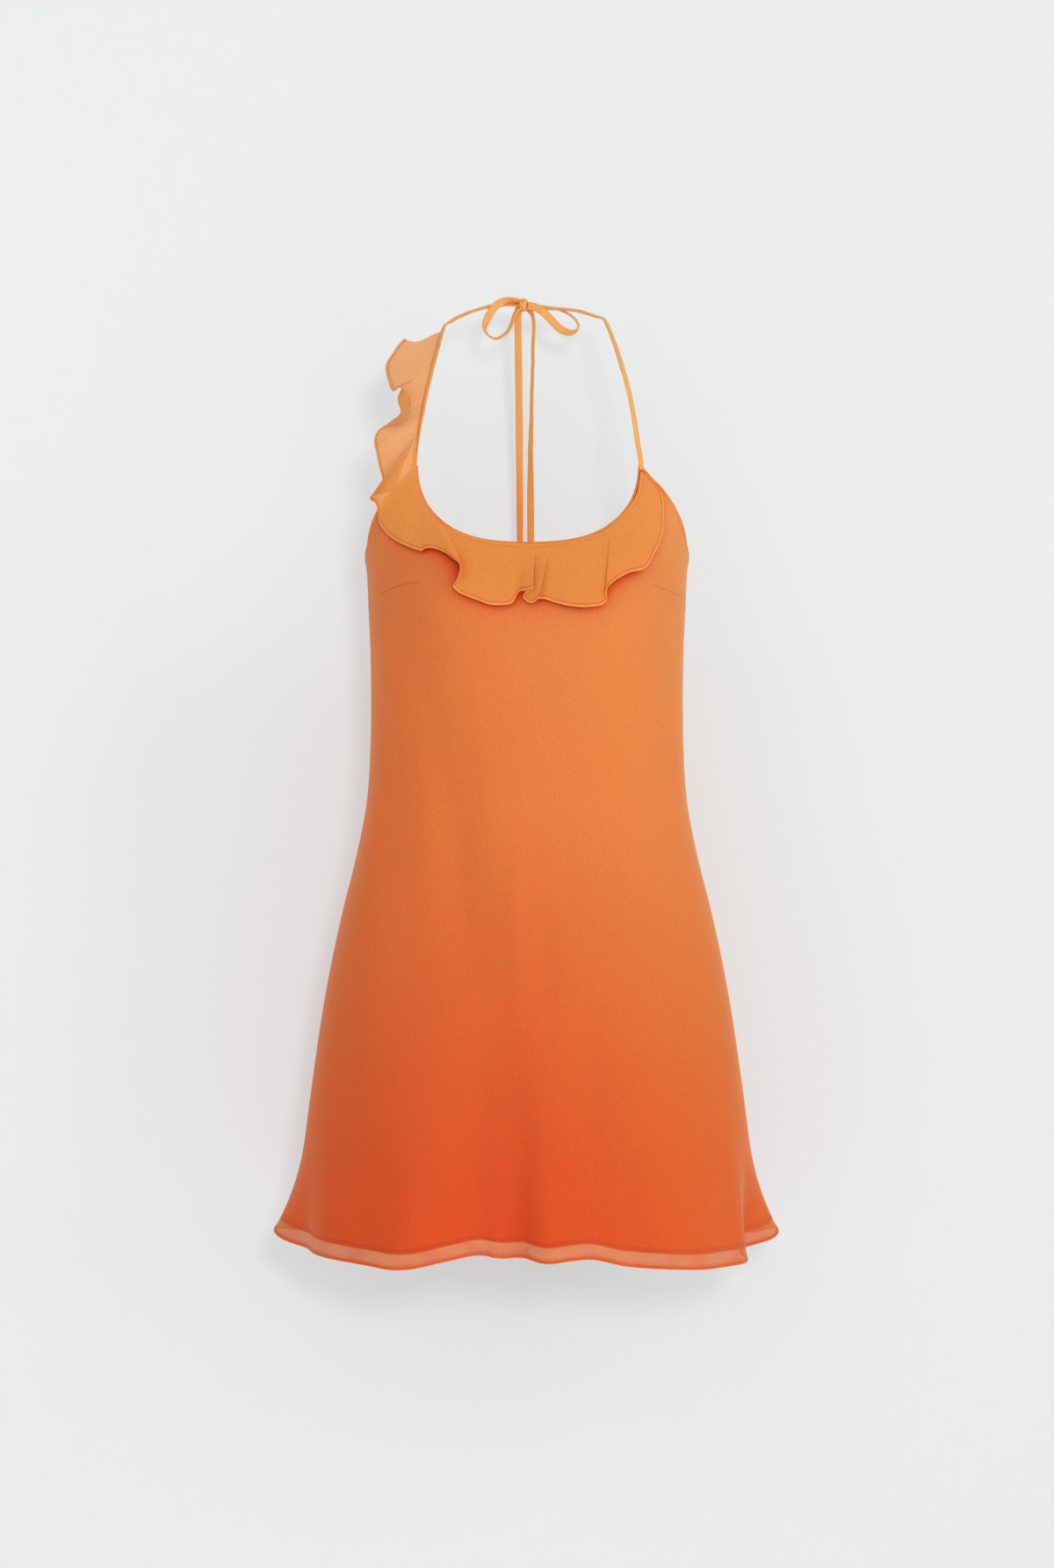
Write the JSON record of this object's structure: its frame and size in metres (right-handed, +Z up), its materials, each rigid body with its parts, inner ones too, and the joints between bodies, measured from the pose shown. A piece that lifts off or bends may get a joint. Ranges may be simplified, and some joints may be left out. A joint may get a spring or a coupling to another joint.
{
  "type": "halter dress",
  "caption": "Sleeveless halter mini dress in orange georgette, worn form, with a one-sided neck flounce, a tie bow at the nape and a slightly flared lined skirt.",
  "frame": {"origin": "the nape of the neck, where the tied halter rests, the point the worn dress hangs from", "axes": "+Z up, along the dress from hem to nape; -Y the front; +X to the right seen from the front"},
  "size_m": [0.4712, 0.3243, 0.8966],
  "materials": {
    "shell_georgette": "matt crinkled georgette, light orange at the top to red orange at the hem",
    "lining_cloth": "smooth thin lining cloth",
    "ruffle_georgette": "sheer georgette, one layer",
    "tie_georgette": "folded georgette tape"
  },
  "bodies": {
    "root": {"shell_front": "shell_georgette", "shell_back": "shell_georgette", "lining_front": "lining_cloth", "lining_back": "lining_cloth", "neck_ruffle": "ruffle_georgette", "strap_left": "tie_georgette", "strap_right": "tie_georgette", "bow_knot": "tie_georgette", "bow_loop_left": "tie_georgette", "bow_loop_right": "tie_georgette", "tail_left": "tie_georgette", "tail_right": "tie_georgette"}
  },
  "joints": []
}
